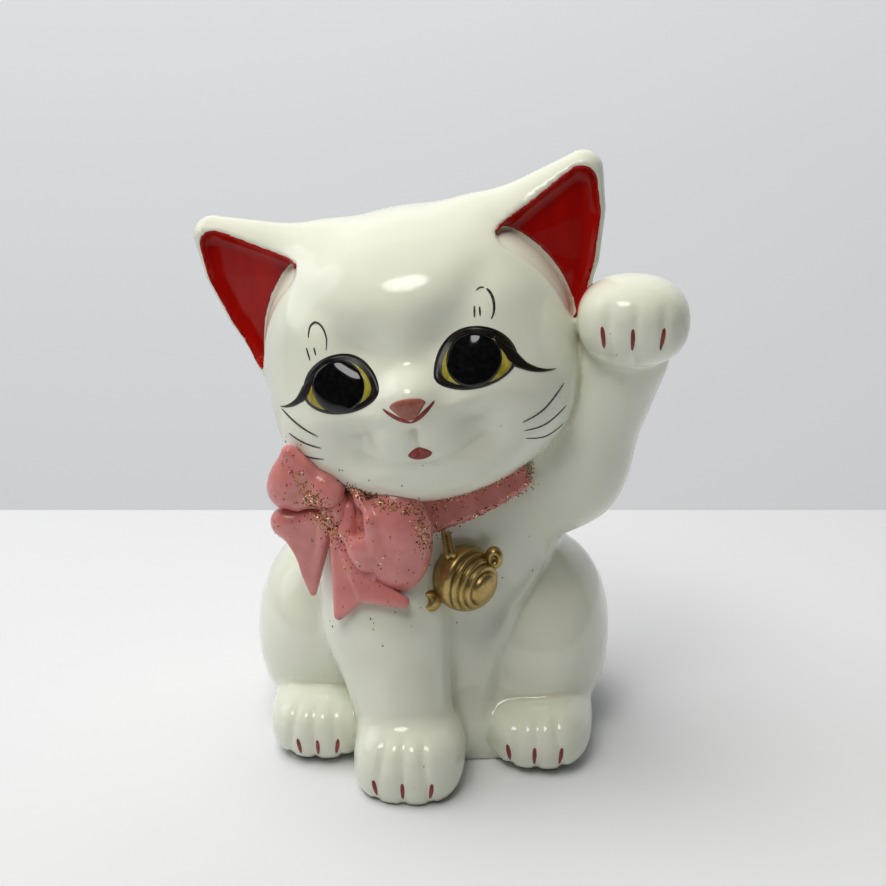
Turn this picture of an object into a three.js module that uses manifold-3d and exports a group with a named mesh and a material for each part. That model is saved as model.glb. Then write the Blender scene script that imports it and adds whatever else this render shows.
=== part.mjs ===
// A seated cat figurine that beckons with its left paw: hollow slip-cast earthenware castings luted
// together, a moulded ribbon bow and bell, enamelled features, and a rubber stopper in the base hole.
//
// Millimetres, +Z up. The cat faces -Y, and "left" is the cat's own left, at +X.

import * as THREE from "three";
import { mergeVertices } from "three/addons/utils/BufferGeometryUtils.js";
import Module from "manifold-3d";

const wasm = await Module();
wasm.setup();

// ---------------------------------------------------------------- driving dimensions

const WALL = 4.5; // thickness of the cast shell
const SEAM = 0.3; // luted seam between neighbouring pieces
const ENAMEL = 0.6; // thickness of a raised enamel patch
const FACETS = 18; // round a large ball
const SMALL_FACETS = 12; // round a limb, or a ball under SMALL_RADIUS
const SMALL_RADIUS = 24;

const HEAD_AT = new THREE.Vector3(-6, -6, 134);
const HEAD_ROLL = -11; // degrees, the crown leans to the cat's right
const HEAD_YAW = 2; // degrees, the face turns to the cat's left

const BAND_AT = new THREE.Vector3(0, -6, 94); // centre of the ribbon round the neck
const BAND_RADII = new THREE.Vector2(39, 37);
const BAND_HEIGHT = 12;

const TAIL_SLOPE = -15; // degrees, the bow's tails lean back against the chest
const TAIL_THICKNESS = 4;
const BELL_RADIUS = 10.8;

const BASE_AT = new THREE.Vector2(4, 0); // centre of the hole in the base
const RECESS_RADIUS = 19;
const RECESS_DEPTH = 3;
const HOLE_RADIUS = 12;
const FLANGE_RADIUS = 15;
const FLANGE_HEIGHT = 2;
const PLUG_LENGTH = 10;

const CLAY = { color: 0xe9e8de, roughness: 0.12, metalness: 0 };
const RED = { color: 0x7d0a0a, roughness: 0.15, metalness: 0 };
const PINK = { color: 0xc4757a, roughness: 0.3, metalness: 0 };
const GOLD = { color: 0xa0823f, roughness: 0.35, metalness: 0.8 };
const BLACK = { color: 0x0b0b0b, roughness: 0.08, metalness: 0 };
const SALMON = { color: 0xa86a5a, roughness: 0.3, metalness: 0 };
const RUBBER = { color: 0x3a3632, roughness: 0.7, metalness: 0 };

// ---------------------------------------------------------------- geometry helpers

const v = (x, y, z) => new THREE.Vector3(x, y, z);
const radians = THREE.MathUtils.degToRad;

const headFrame = new THREE.Matrix4().makeRotationFromEuler(
  new THREE.Euler(0, radians(HEAD_ROLL), radians(HEAD_YAW)),
);
headFrame.setPosition(HEAD_AT);

// A closed geometry as a solid, moved by a matrix when one is given.
function solid(geometry, matrix = new THREE.Matrix4()) {
  const shell = geometry.clone().applyMatrix4(matrix);
  shell.deleteAttribute("normal");
  shell.deleteAttribute("uv");
  const merged = mergeVertices(shell, 1e-4);
  return new wasm.Manifold(
    new wasm.Mesh({
      numProp: 3,
      vertProperties: merged.attributes.position.array,
      triVerts: Uint32Array.from(merged.index.array),
    }),
  );
}

const join = (...bodies) => bodies.reduce((whole, body) => whole.add(body));
const cut = (body, ...tools) => tools.reduce((rest, tool) => rest.subtract(tool), body);

// The biggest body left when a cut has made slivers.
function mainBody(body) {
  return body.decompose().sort((a, b) => b.volume() - a.volume())[0];
}

function ball(centre, radii, grow = 0, matrix = undefined) {
  const facets = Math.max(radii.x, radii.y, radii.z) < SMALL_RADIUS ? SMALL_FACETS : FACETS;
  const geometry = new THREE.SphereGeometry(1, facets, Math.ceil(facets / 2));
  geometry.scale(radii.x + grow, radii.y + grow, radii.z + grow);
  geometry.translate(centre.x, centre.y, centre.z);
  return solid(geometry, matrix);
}

// Two balls of different size with their tangent cone between them.
function limb(from, to, fromRadius, toRadius, grow = 0) {
  const length = from.distanceTo(to);
  const tilt = Math.asin((fromRadius - toRadius) / length);
  const steps = 3;
  const profile = [];
  for (let i = 0; i <= steps; i += 1) {
    const angle = THREE.MathUtils.lerp(-Math.PI / 2, tilt, i / steps);
    const radius = fromRadius + grow;
    profile.push(new THREE.Vector2(radius * Math.cos(angle), radius * Math.sin(angle)));
  }
  for (let i = 0; i <= steps; i += 1) {
    const angle = THREE.MathUtils.lerp(tilt, Math.PI / 2, i / steps);
    const radius = toRadius + grow;
    const height = length + radius * Math.sin(angle);
    profile.push(new THREE.Vector2(radius * Math.cos(angle), height));
  }
  profile[0].x = 0;
  profile[profile.length - 1].x = 0;
  const turn = new THREE.Quaternion().setFromUnitVectors(v(0, 1, 0), to.clone().sub(from).normalize());
  const matrix = new THREE.Matrix4().compose(from, turn, v(1, 1, 1));
  return solid(new THREE.LatheGeometry(profile, SMALL_FACETS), matrix);
}

// Everything below a level, to cut a flat rest face or floor.
function below(level) {
  const depth = 100;
  const geometry = new THREE.BoxGeometry(400, 400, depth);
  geometry.translate(0, 0, level - depth / 2);
  return solid(geometry);
}

function disc(centre, radius, bottom, top) {
  const profile = [[0, bottom], [radius, bottom], [radius, top], [0, top]];
  const geometry = new THREE.LatheGeometry(profile.map(([r, z]) => new THREE.Vector2(r, z)), 24);
  geometry.rotateX(Math.PI / 2);
  geometry.translate(centre.x, centre.y, 0);
  return solid(geometry);
}

// A closed outline in the XZ plane, drawn with splines, as a plate between two values of Y.
function plate(outline, front, back, bevel = 0) {
  const shape = new THREE.Shape();
  shape.moveTo(outline[0][0], outline[0][1]);
  shape.splineThru(outline.slice(1).map(([x, z]) => new THREE.Vector2(x, z)));
  shape.closePath();
  const geometry = new THREE.ExtrudeGeometry(shape, {
    depth: back - front - 2 * bevel,
    curveSegments: 2,
    bevelEnabled: bevel > 0,
    bevelSize: bevel,
    bevelThickness: bevel,
    bevelSegments: 1,
  });
  geometry.rotateX(Math.PI / 2);
  geometry.translate(0, back - bevel, 0);
  return geometry;
}

function geometryOf(body) {
  const mesh = body.getMesh();
  const geometry = new THREE.BufferGeometry();
  geometry.setAttribute("position", new THREE.BufferAttribute(mesh.vertProperties, 3));
  geometry.setIndex(new THREE.BufferAttribute(mesh.triVerts, 1));
  geometry.computeVertexNormals();
  return geometry;
}

const figurine = new THREE.Group();
const figure = new THREE.Group();
const headGroup = new THREE.Group();
headGroup.applyMatrix4(headFrame);
figure.add(headGroup);
figurine.add(figure);

function addPiece(name, body, finish) {
  const mesh = new THREE.Mesh(geometryOf(body), new THREE.MeshStandardMaterial(finish));
  mesh.name = name;
  figure.add(mesh);
}

// A piece of the head is worked out where it stands, and hung in the tilted head group.
function addHeadPiece(name, body, finish) {
  const geometry = geometryOf(body);
  geometry.applyMatrix4(headFrame.clone().invert());
  const mesh = new THREE.Mesh(geometry, new THREE.MeshStandardMaterial(finish));
  mesh.name = name;
  headGroup.add(mesh);
}

// ---------------------------------------------------------------- outer forms, grown by a distance

const torsoForm = (grow) =>
  join(
    ball(v(-3, 8, 38), v(46, 40, 50), grow),
    ball(v(2, 1, 84), v(35, 30, 33), grow),
    ball(v(4, -2, 8), v(38, 33, 20), grow),
  );

const headForm = (grow) =>
  join(
    ball(v(0, 2, 2), v(51, 44, 46), grow, headFrame),
    ball(v(-20, -14, -12), v(26, 28, 23), grow, headFrame),
    ball(v(20, -14, -12), v(26, 28, 23), grow, headFrame),
    ball(v(0, -24, -26), v(26, 20, 14), grow, headFrame),
    ball(v(0, -38, -12), v(11, 12, 10), grow, headFrame),
  );

const haunchForm = (side, grow) => ball(v(-4 + side * 34, 6, 31), v(27.5, 36, 35), grow);
const hindPawForm = (side, grow) => ball(v(-1 + side * 37, -22 + side, 10.5), v(17.5, 22.5, 12.5), grow);
const frontPawForm = (grow) => ball(v(-5, -48, 10), v(18, 19, 14.5), grow);
const raisedPawForm = (grow) => ball(v(62, -14, 150), v(17.7, 16, 14.3), grow);

const forelegForm = (grow) =>
  join(
    limb(v(-17, -18, 80), v(-15, -29, 50), 24.5, 20.5, grow),
    limb(v(-15, -29, 50), v(-6, -44, 16), 20.5, 14.5, grow),
  );

const armForm = (grow) =>
  join(
    limb(v(30, 0, 88), v(40, 1, 96), 19, 20, grow),
    limb(v(40, 1, 96), v(58.5, -4, 136), 20, 15.5, grow),
  );

// The space inside the ribbon: a rounded disc that leans with the head.
function bandForm(grow) {
  const half = BAND_HEIGHT / 2 + grow;
  const profile = [
    [0, -half],
    [0.93, -half],
    [0.99, -half * 0.6],
    [1, 0],
    [0.99, half * 0.6],
    [0.93, half],
    [0, half],
  ];
  const geometry = new THREE.LatheGeometry(profile.map(([r, z]) => new THREE.Vector2(r, z)), 24);
  geometry.rotateX(Math.PI / 2);
  geometry.scale(BAND_RADII.x + grow, BAND_RADII.y + grow, 1);
  geometry.rotateY(radians(HEAD_ROLL));
  geometry.translate(BAND_AT.x, BAND_AT.y, BAND_AT.z);
  return solid(geometry);
}

const head = headForm(SEAM);
const torso = torsoForm(SEAM);
const band = bandForm(SEAM);
const foreleg = forelegForm(SEAM);
const frontPaw = frontPawForm(SEAM);
const rest = below(0);

// ---------------------------------------------------------------- castings

const torsoHollow = cut(torsoForm(-WALL), below(RECESS_DEPTH + WALL));
const baseHole = disc(BASE_AT, HOLE_RADIUS, -1, RECESS_DEPTH + WALL + 1);
const baseRecess = disc(BASE_AT, RECESS_RADIUS, -1, RECESS_DEPTH);
addPiece("torso", mainBody(cut(torsoForm(0), torsoHollow, baseHole, baseRecess, head, rest)), CLAY);

const neckOpening = disc(new THREE.Vector2(2, 0), 16, 60, 112);
addHeadPiece("head", mainBody(cut(headForm(0), headForm(-WALL), neckOpening)), CLAY);

for (const [side, name] of [[-1, "right"], [1, "left"]]) {
  const hindPaw = hindPawForm(side, SEAM);
  const haunchTools = [haunchForm(side, -WALL), torso, foreleg, frontPaw, hindPaw, rest];
  addPiece(`haunch_${name}`, mainBody(cut(haunchForm(side, 0), ...haunchTools)), CLAY);
  addPiece(`hind_paw_${name}`, mainBody(cut(hindPawForm(side, 0), torso, frontPaw, rest)), CLAY);
}

addPiece("foreleg_right", mainBody(cut(forelegForm(0), forelegForm(-WALL), torso, head, band, frontPaw)), CLAY);
addPiece("front_paw_right", mainBody(cut(frontPawForm(0), torso, rest)), CLAY);
addPiece("arm_left", mainBody(cut(armForm(0), armForm(-WALL), torso, head, band, raisedPawForm(SEAM))), CLAY);
addPiece("raised_paw_left", mainBody(cut(raisedPawForm(0), head)), CLAY);

// The short curled tail is out of sight behind the haunches.
const tailPath = [v(-14, 45, 10), v(6, 51, 13), v(20, 51, 24), v(17, 52, 38)];
const tailRadii = [9, 8.5, 7.5, 6];
const tailLimbs = [0, 1, 2].map((i) => limb(tailPath[i], tailPath[i + 1], tailRadii[i], tailRadii[i + 1]));
const haunches = [haunchForm(-1, SEAM), haunchForm(1, SEAM)];
addPiece("tail", mainBody(cut(join(...tailLimbs), torso, ...haunches, rest)), CLAY);

// ---------------------------------------------------------------- ears and their red linings

const EAR_OUTLINE = [[24, 24], [24, 41], [44, 52], [60, 57], [67, 49], [67, 32], [59, 12], [48, 0], [36, 10]];
const LINING_OUTLINE = [[34, 33], [42, 43], [58, 51], [62, 46], [61.5, 31], [56, 17], [50, 8], [45, 17]];
const EAR_FRONT = -5;
const EAR_BACK = 11;
const SCOOP_BACK = 3;

const arm = armForm(SEAM);
const raisedPaw = raisedPawForm(SEAM);

for (const [side, name] of [[-1, "right"], [1, "left"]]) {
  const mirror = ([x, z]) => [side * x, z];
  const order = (outline) => (side > 0 ? outline.slice().reverse() : outline);
  const earOutline = order(EAR_OUTLINE.map(mirror));
  const liningOutline = order(LINING_OUTLINE.map(mirror));
  const shell = solid(plate(earOutline, EAR_FRONT, EAR_BACK, 2.5), headFrame);
  const scoop = solid(plate(liningOutline, EAR_FRONT - 20, SCOOP_BACK), headFrame);
  const lining = solid(plate(liningOutline, SCOOP_BACK - SEAM - 1, SCOOP_BACK - SEAM), headFrame);
  const rim = cut(shell, scoop, head, arm, raisedPaw);
  addHeadPiece(`ear_${name}`, mainBody(rim), CLAY);
  const inside = solid(plate(earOutline, EAR_FRONT, EAR_BACK, 2.5), headFrame);
  addHeadPiece(`ear_lining_${name}`, mainBody(cut(lining.intersect(inside), head)), RED);
}

// ---------------------------------------------------------------- enamelled face

const EYE_OUTLINE = [[-13, -1], [-8, 6], [0, 9], [8, 6], [13, 0], [8, -6], [0, -9], [-8, -6]];
const NOSE_OUTLINE = [[-6, 1], [0, 4], [6, 1], [0, -4.5]];
const MOUTH_OUTLINE = [[-3.6, 0.5], [0, 2.2], [3.6, 0.5], [0, -2.4]];
const skin = cut(headForm(SEAM + ENAMEL), head);

function enamelPatch(outline, x, z) {
  const placed = outline.map(([dx, dz]) => [x + dx, z + dz]);
  return mainBody(skin.intersect(solid(plate(placed, -60, -20), headFrame)));
}

addHeadPiece("eye_left", enamelPatch(EYE_OUTLINE, 22.3, 6), BLACK);
addHeadPiece("eye_right", enamelPatch(EYE_OUTLINE, -22.3, 6), BLACK);
addHeadPiece("nose", enamelPatch(NOSE_OUTLINE, 0, -4), SALMON);
addHeadPiece("mouth", enamelPatch(MOUTH_OUTLINE, 0, -18), RED);

// ---------------------------------------------------------------- ribbon: band, knot, loops and tails

const neckTools = [torso, head, foreleg, arm];
addPiece("ribbon_band", mainBody(cut(bandForm(0), torso, head)), PINK);

const knotForm = (grow) => ball(v(-31, -42, 93), v(6.5, 6, 7), grow);
const lowerLoopForm = (grow) => ball(v(-12, -46, 82), v(13.7, 8, 15.5), grow);
const upperLoopForm = (grow) => ball(v(-43, -36, 101), v(9, 7, 11), grow);
const knotRoom = knotForm(SEAM);
const lowerRoom = lowerLoopForm(SEAM);
addPiece("bow_knot", mainBody(cut(knotForm(0), torso, head, foreleg, band)), PINK);
addPiece("bow_loop_lower", mainBody(cut(lowerLoopForm(0), ...neckTools, band, knotRoom)), PINK);
addPiece("bow_loop_upper", mainBody(cut(upperLoopForm(0), ...neckTools, band, knotRoom)), PINK);

// The tails hang against the shoulder; their outlines are taken from a point in the slope's middle.
const TAIL_LEFT = [[-5, 6], [-10, -8], [-20, -9], [-27, -17], [-30, -8], [-31, 8], [-20, 14]];
const TAIL_RIGHT = [[-27, 16], [-31, 6], [-36, -7], [-40, 2], [-48, 8], [-49, 17], [-38, 22]];
const bowRoom = [knotRoom, lowerRoom, upperLoopForm(SEAM), band];
const tailFrame = new THREE.Matrix4().makeRotationX(radians(TAIL_SLOPE)).setPosition(v(0, -45, 70));
const leftTail = solid(plate(TAIL_LEFT, -TAIL_THICKNESS, 2, 1), tailFrame);
const rightTail = solid(plate(TAIL_RIGHT, 0, TAIL_THICKNESS + 2, 1), tailFrame);
const leftRoom = solid(plate(TAIL_LEFT, -TAIL_THICKNESS - SEAM, 2 + SEAM, 1), tailFrame);
addPiece("bow_tail_left", mainBody(cut(leftTail, ...neckTools, ...bowRoom)), PINK);
addPiece("bow_tail_right", mainBody(cut(rightTail, ...neckTools, ...bowRoom, leftRoom)), PINK);

// ---------------------------------------------------------------- bell

const bellAt = v(12.5, -36, 70);
const bellTools = [torso, foreleg, lowerRoom, band];
const bellBall = (grow) => ball(bellAt, v(BELL_RADIUS, BELL_RADIUS, BELL_RADIUS), grow);
const bellRoom = bellBall(SEAM);
addPiece("bell_body", mainBody(cut(bellBall(0), ...bellTools)), GOLD);
addPiece("bell_hanger", mainBody(cut(limb(v(7, -37, 88), v(9.5, -37, 78), 2, 2.6), ...bellTools, bellRoom)), GOLD);
addPiece("bell_lug_left", mainBody(cut(ball(v(22, -33, 77), v(3.6, 3.6, 3.6)), ...bellTools, bellRoom)), GOLD);
addPiece("bell_lug_right", mainBody(cut(ball(v(3, -38, 61), v(4.6, 4, 3.8)), ...bellTools, bellRoom)), GOLD);

// ---------------------------------------------------------------- rubber stopper in the base hole

const flangeTop = RECESS_DEPTH - SEAM;
const flangeBottom = flangeTop - FLANGE_HEIGHT;
const plugRadius = HOLE_RADIUS - SEAM;
const plugTop = flangeTop + PLUG_LENGTH;
const stopperProfile = [
  [0, flangeBottom],
  [FLANGE_RADIUS - 0.6, flangeBottom],
  [FLANGE_RADIUS, flangeBottom + 0.6],
  [FLANGE_RADIUS, flangeTop],
  [plugRadius, flangeTop],
  [plugRadius, plugTop - 3],
  [plugRadius - 1.2, plugTop],
  [0, plugTop],
];
const stopperShape = new THREE.LatheGeometry(stopperProfile.map(([r, z]) => new THREE.Vector2(r, z)), 24);
stopperShape.rotateX(Math.PI / 2);
stopperShape.translate(BASE_AT.x, BASE_AT.y, 0);
addPiece("base_stopper", solid(stopperShape), RUBBER);

// ---------------------------------------------------------------- origin: middle of the base

const extent = new THREE.Box3().setFromObject(figurine);
const middle = extent.getCenter(v(0, 0, 0));
figure.position.set(-middle.x, -middle.y, -extent.min.z);

export default figurine;
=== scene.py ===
"""A glazed earthenware kitten that beckons with its left paw, with a painted bow and a gilt bell."""

import math

import bpy
import numpy as np
from mathutils import Matrix, Vector
from mathutils.bvhtree import BVHTree


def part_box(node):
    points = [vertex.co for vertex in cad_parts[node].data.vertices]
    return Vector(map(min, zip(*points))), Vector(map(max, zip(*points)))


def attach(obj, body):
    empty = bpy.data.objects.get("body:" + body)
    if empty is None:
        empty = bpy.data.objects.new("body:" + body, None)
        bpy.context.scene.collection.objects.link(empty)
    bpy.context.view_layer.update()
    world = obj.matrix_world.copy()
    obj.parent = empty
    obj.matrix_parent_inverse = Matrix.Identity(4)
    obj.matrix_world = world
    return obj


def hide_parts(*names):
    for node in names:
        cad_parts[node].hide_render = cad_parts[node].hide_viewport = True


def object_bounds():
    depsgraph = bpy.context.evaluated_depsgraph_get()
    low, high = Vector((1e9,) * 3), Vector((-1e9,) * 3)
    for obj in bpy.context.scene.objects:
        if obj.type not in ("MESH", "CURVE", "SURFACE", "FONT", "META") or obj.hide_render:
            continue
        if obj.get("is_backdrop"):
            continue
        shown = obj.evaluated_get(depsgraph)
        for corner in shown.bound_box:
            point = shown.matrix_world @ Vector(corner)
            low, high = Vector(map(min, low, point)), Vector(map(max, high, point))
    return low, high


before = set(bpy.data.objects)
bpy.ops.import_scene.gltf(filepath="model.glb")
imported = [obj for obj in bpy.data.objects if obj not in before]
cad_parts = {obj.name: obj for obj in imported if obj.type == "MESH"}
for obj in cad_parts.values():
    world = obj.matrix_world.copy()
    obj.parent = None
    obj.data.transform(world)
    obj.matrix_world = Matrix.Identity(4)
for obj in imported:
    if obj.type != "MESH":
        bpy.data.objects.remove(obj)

cad_low, cad_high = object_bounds()

# ------------------------------------------------------------------ the table, the light and the camera
# A white sheet on a table in front of a pale wall, under a broad ceiling bounce, a
# smaller ceiling light that shows on the forehead, and a window's fill from the side.

hole_low, hole_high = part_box("base_stopper")
ORIGIN = (hole_low + hole_high) / 2 * 1000 - Vector((4, 0, 0))  # mm, the cat's own centre line on the table
ORIGIN.z = 0


def in_row(points):
    """Millimetres in the cat's own frame to metres in the row's frame."""
    return (np.asarray(points, float) + np.array(ORIGIN)) / 1000


def linear(hex_colour):
    """An sRGB hex colour as the linear RGBA that the shaders take."""
    parts = [int(hex_colour[i : i + 2], 16) / 255 for i in (0, 2, 4)]
    return (*[c / 12.92 if c <= 0.04045 else ((c + 0.055) / 1.055) ** 2.4 for c in parts], 1)


def add(material, kind, links=None, **settings):
    """One shader node, with its inputs or properties set and its inputs linked from other sockets."""
    node = material.node_tree.nodes.new(kind)
    for name, value in settings.items():
        if name in node.inputs:
            node.inputs[name].default_value = value
        else:
            setattr(node, name, value)
    for name, socket in (links or {}).items():
        material.node_tree.links.new(socket, node.inputs[name])
    return node


def new_material(name):
    material = bpy.data.materials.new(name)
    material.use_nodes = True
    material.node_tree.nodes.clear()
    return material


def mix(material, share, colour, other):
    """One colour turning to the other as the linked share goes from 0 to 1."""
    return add(material, "ShaderNodeMixRGB", {"Fac": share}, Color1=linear(colour), Color2=linear(other))


def surface(material, links, **settings):
    """A material's shader, with the sockets that feed it, and its output."""
    shade = add(material, "ShaderNodeBsdfPrincipled", links, **settings)
    add(material, "ShaderNodeOutputMaterial", {"Surface": shade.outputs["BSDF"]})


def stage_sheet(name, colour, glow, corners):
    """A flat sheet of pale paper, lit evenly from its own side by glow."""
    material = new_material(name + "_paper")
    shade = add(material, "ShaderNodeBsdfPrincipled", **{"Base Color": linear(colour), "Roughness": 0.8})
    shade.inputs["Emission Color"].default_value = linear(colour)
    shade.inputs["Emission Strength"].default_value = glow
    add(material, "ShaderNodeOutputMaterial", {"Surface": shade.outputs["BSDF"]})
    mesh = bpy.data.meshes.new(name)
    mesh.from_pydata(corners, [], [(0, 1, 2, 3)])
    mesh.materials.append(material)
    sheet = bpy.data.objects.new(name, mesh)
    bpy.context.scene.collection.objects.link(sheet)
    sheet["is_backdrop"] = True


AZIMUTH, ELEVATION = math.radians(7), math.radians(20)


def facing_camera(across, away, height):
    """A place in metres, measured across and away from the camera's side of the cat."""
    return (
        across * math.cos(AZIMUTH) - away * math.sin(AZIMUTH),
        across * math.sin(AZIMUTH) + away * math.cos(AZIMUTH),
        height,
    )


TABLE_BACK, TABLE_FRONT, WALL = 0.19, -2.5, 1.1
stage_sheet("table", "E4E6E9", 0, [
    facing_camera(-3, TABLE_FRONT, 0), facing_camera(3, TABLE_FRONT, 0),
    facing_camera(3, TABLE_BACK, 0), facing_camera(-3, TABLE_BACK, 0),
])
stage_sheet("wall", "DADCDF", 0.61, [
    facing_camera(-3, WALL, -1.5), facing_camera(3, WALL, -1.5),
    facing_camera(3, WALL, 3), facing_camera(-3, WALL, 3),
])

world = bpy.data.worlds.new("room")
world.use_nodes = True
world.node_tree.nodes["Background"].inputs["Color"].default_value = linear("DDE2EA")
world.node_tree.nodes["Background"].inputs["Strength"].default_value = 0.05
bpy.context.scene.world = world
bpy.context.scene.view_settings.view_transform = "Standard"


def softbox(name, place, aim, size, watts, colour, mirrored=True):
    """A lamp behind a diffuser; the one that isn't mirrored stands for the light of the whole ceiling."""
    light = bpy.data.lights.new(name, "AREA")
    light.shape = "ELLIPSE"
    light.size, light.size_y = size
    light.energy = watts
    light.color = linear(colour)[:3]
    lamp = bpy.data.objects.new(name, light)
    bpy.context.scene.collection.objects.link(lamp)
    lamp.location = place
    lamp.rotation_mode = "QUATERNION"
    lamp.rotation_quaternion = (Vector(aim) - Vector(place)).to_track_quat("-Z", "Y")
    lamp.visible_glossy = mirrored


softbox("ceiling_bounce", (-0.3, -0.06, 1.25), (0, 0, 0.1), (1.2, 1.2), 13.5, "FFFBF4", mirrored=False)
softbox("ceiling_light", (-0.2, -0.72, 1.25), (0, 0, 0.1), (0.54, 0.38), 3.8, "FFFDF8")
softbox("side_window", (-1.3, 0.1, 0.8), (0, 0, 0.1), (0.9, 1.1), 3, "EEF3FF")

DISTANCE, TARGET_HEIGHT, LENS = 0.555, 0.101, 67.04
target = Vector(in_row((0, 0, 0))) + Vector((0, 0, TARGET_HEIGHT))
back = Vector((
    math.sin(AZIMUTH) * math.cos(ELEVATION),
    -math.cos(AZIMUTH) * math.cos(ELEVATION),
    math.sin(ELEVATION),
))
camera_data = bpy.data.cameras.new("camera")
camera_data.lens = LENS
camera_data.sensor_width = 36
camera = bpy.data.objects.new("camera", camera_data)
bpy.context.scene.collection.objects.link(camera)
camera.location = target + back * DISTANCE
camera.rotation_mode = "QUATERNION"
camera.rotation_quaternion = (-back).to_track_quat("-Z", "Y")
bpy.context.scene.camera = camera

# ------------------------------------------------------------------ the casting
# Slip-cast earthenware: torso, head, ears, haunches, limbs and tail are luted wet and fired as one piece,
# so their seams are wiped to soft hollows. It is shaped here as one distance field, in millimetres, with
# the cat facing -Y and its left at +X, then meshed. A pour hole in the recessed base opens into the hollow.

HEAD_AT = np.array((-6.0, -6.0, 134.0))
HEAD_ROLL, HEAD_YAW = math.radians(-11), math.radians(2)
HEAD_TURN = np.array(Matrix.Rotation(HEAD_ROLL, 3, "Y") @ Matrix.Rotation(HEAD_YAW, 3, "Z"))
BASE_HOLE_AT, BASE_HOLE_RADIUS = (4, 0), 12
BASE_RECESS_RADIUS, BASE_RECESS_DEPTH = 19, 3


def ellipsoid(p, centre, radii):
    q, r = p - np.array(centre, float), np.array(radii, float)
    near = np.linalg.norm(q / r, axis=1)
    return near * (near - 1) / np.maximum(np.linalg.norm(q / (r * r), axis=1), 1e-9)


def pillow(p, centre, radii, power):
    """An ellipsoid with fuller shoulders, as its power rises above 2."""
    r = np.array(radii, float)
    a = np.abs((p - np.array(centre, float)) / r) + 1e-6
    k = (a**power).sum(1) ** (1 / power)
    slope = np.linalg.norm(k[:, None] ** (1 - power) * a ** (power - 1) / r, axis=1)
    return (k - 1) / slope


def limb(p, start, end, start_radius, end_radius):
    """Two balls and the tangent cone between them."""
    a, b = np.array(start, float), np.array(end, float)
    axis, drop = b - a, start_radius - end_radius
    length2 = axis @ axis
    slant2 = length2 - drop * drop
    pa = p - a
    y = pa @ axis
    z = y - length2
    x2 = ((pa * length2 - y[:, None] * axis) ** 2).sum(1)
    y2, z2 = y * y * length2, z * z * length2
    k = np.sign(drop) * drop * drop * x2
    d = (np.sqrt(x2 * slant2 / length2) + y * drop) / length2 - start_radius
    d = np.where(np.sign(y) * slant2 * y2 < k, np.sqrt(x2 + y2) / length2 - start_radius, d)
    return np.where(np.sign(z) * slant2 * z2 > k, np.sqrt(x2 + z2) / length2 - end_radius, d)


def leaf(p, corners, radii):
    """A rounded plate over a triangle, with its own half thickness at each corner."""
    corners = [np.array(c, float) for c in corners]
    a, e0, e1 = corners[0], corners[1] - corners[0], corners[2] - corners[0]
    v = p - a
    d00, d01, d11, d20, d21 = e0 @ e0, e0 @ e1, e1 @ e1, v @ e0, v @ e1
    span = d00 * d11 - d01 * d01
    s, t = (d11 * d20 - d01 * d21) / span, (d00 * d21 - d01 * d20) / span
    over = (s >= 0) & (t >= 0) & (s + t <= 1)
    foot = a + s[:, None] * e0 + t[:, None] * e1
    thickness = (1 - s - t) * radii[0] + s * radii[1] + t * radii[2]
    d = np.where(over, np.linalg.norm(p - foot, axis=1) - thickness, 1e9)
    for i, j in ((0, 1), (1, 2), (2, 0)):
        edge = corners[j] - corners[i]
        along = np.clip((p - corners[i]) @ edge / (edge @ edge), 0, 1)
        gap = np.linalg.norm(p - (corners[i] + along[:, None] * edge), axis=1)
        d = np.minimum(d, gap - (radii[i] + along * (radii[j] - radii[i])))
    return d


def melt(a, b, k):
    """Union with a wiped joint about k wide."""
    h = np.maximum(k - np.abs(a - b), 0) / k
    return np.minimum(a, b) - h * h * k / 4


def carve(a, b, k):
    return -melt(-a, b, k)


def dent(offset, width):
    """1 in the middle of a soft dent, falling to 0 a few widths away."""
    return np.exp(-((offset / width) ** 2))


def ramp(value, low, high):
    t = np.clip((value - low) / (high - low), 0, 1)
    return t * t * (3 - 2 * t)


def in_head(p):
    return (p - HEAD_AT) @ HEAD_TURN


def torso_form(p):
    d = melt(ellipsoid(p, (-3, 8, 38), (46, 40, 50)), ellipsoid(p, (2, 1, 84), (35, 30, 33)), 22)
    return melt(d, pillow(p, (4, -2, 8), (38, 33, 20), 2.6), 12)


# each standing paw: centre, half sizes
FRONT_PAW = ((-5, -48, 10), (18, 19, 14.5))
HIND_PAWS = {side: ((-1 + side * 37, -22 + side, 10.5), (17.5, 22.5, 12.5)) for side in (-1, 1)}
RAISED_PAW = ((62, -14, 150), (17.7, 16, 14.3))
TOE_GAPS = (-0.42, 0.0, 0.42)  # grooves between four toes, as shares of the paw's half width


def standing_paw(p, centre, half):
    """A paw with three soft grooves that run up over its toes."""
    d = pillow(p, centre, half, 2.6)
    q = (p - np.array(centre)) / np.array(half)
    front = ramp(-q[:, 1], 0.25, 0.75) * ramp(q[:, 2], 1.05, 0.5)
    for gap in TOE_GAPS:
        d = d + 0.9 * front * dent(q[:, 0] - gap * (1 - 0.25 * q[:, 2]), 0.075)
    return d


def raised_paw(p):
    centre, half = RAISED_PAW
    d = pillow(p, centre, half, 2.3)
    q = (p - np.array(centre)) / np.array(half)
    front = ramp(-q[:, 1], 0.35, 0.8) * ramp(q[:, 2], 0.75, 0.2)
    for gap in TOE_GAPS:
        d = d + 0.8 * front * dent(q[:, 0] - 0.05 - gap * 1.15, 0.075)
    return d


def foreleg_form(p):
    d = melt(
        limb(p, (-17, -18, 80), (-15, -29, 50), 24.5, 20.5),
        limb(p, (-15, -29, 50), (-6, -44, 16), 20.5, 14.5),
        6,
    )
    return melt(d, standing_paw(p, *FRONT_PAW), 4)


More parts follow.
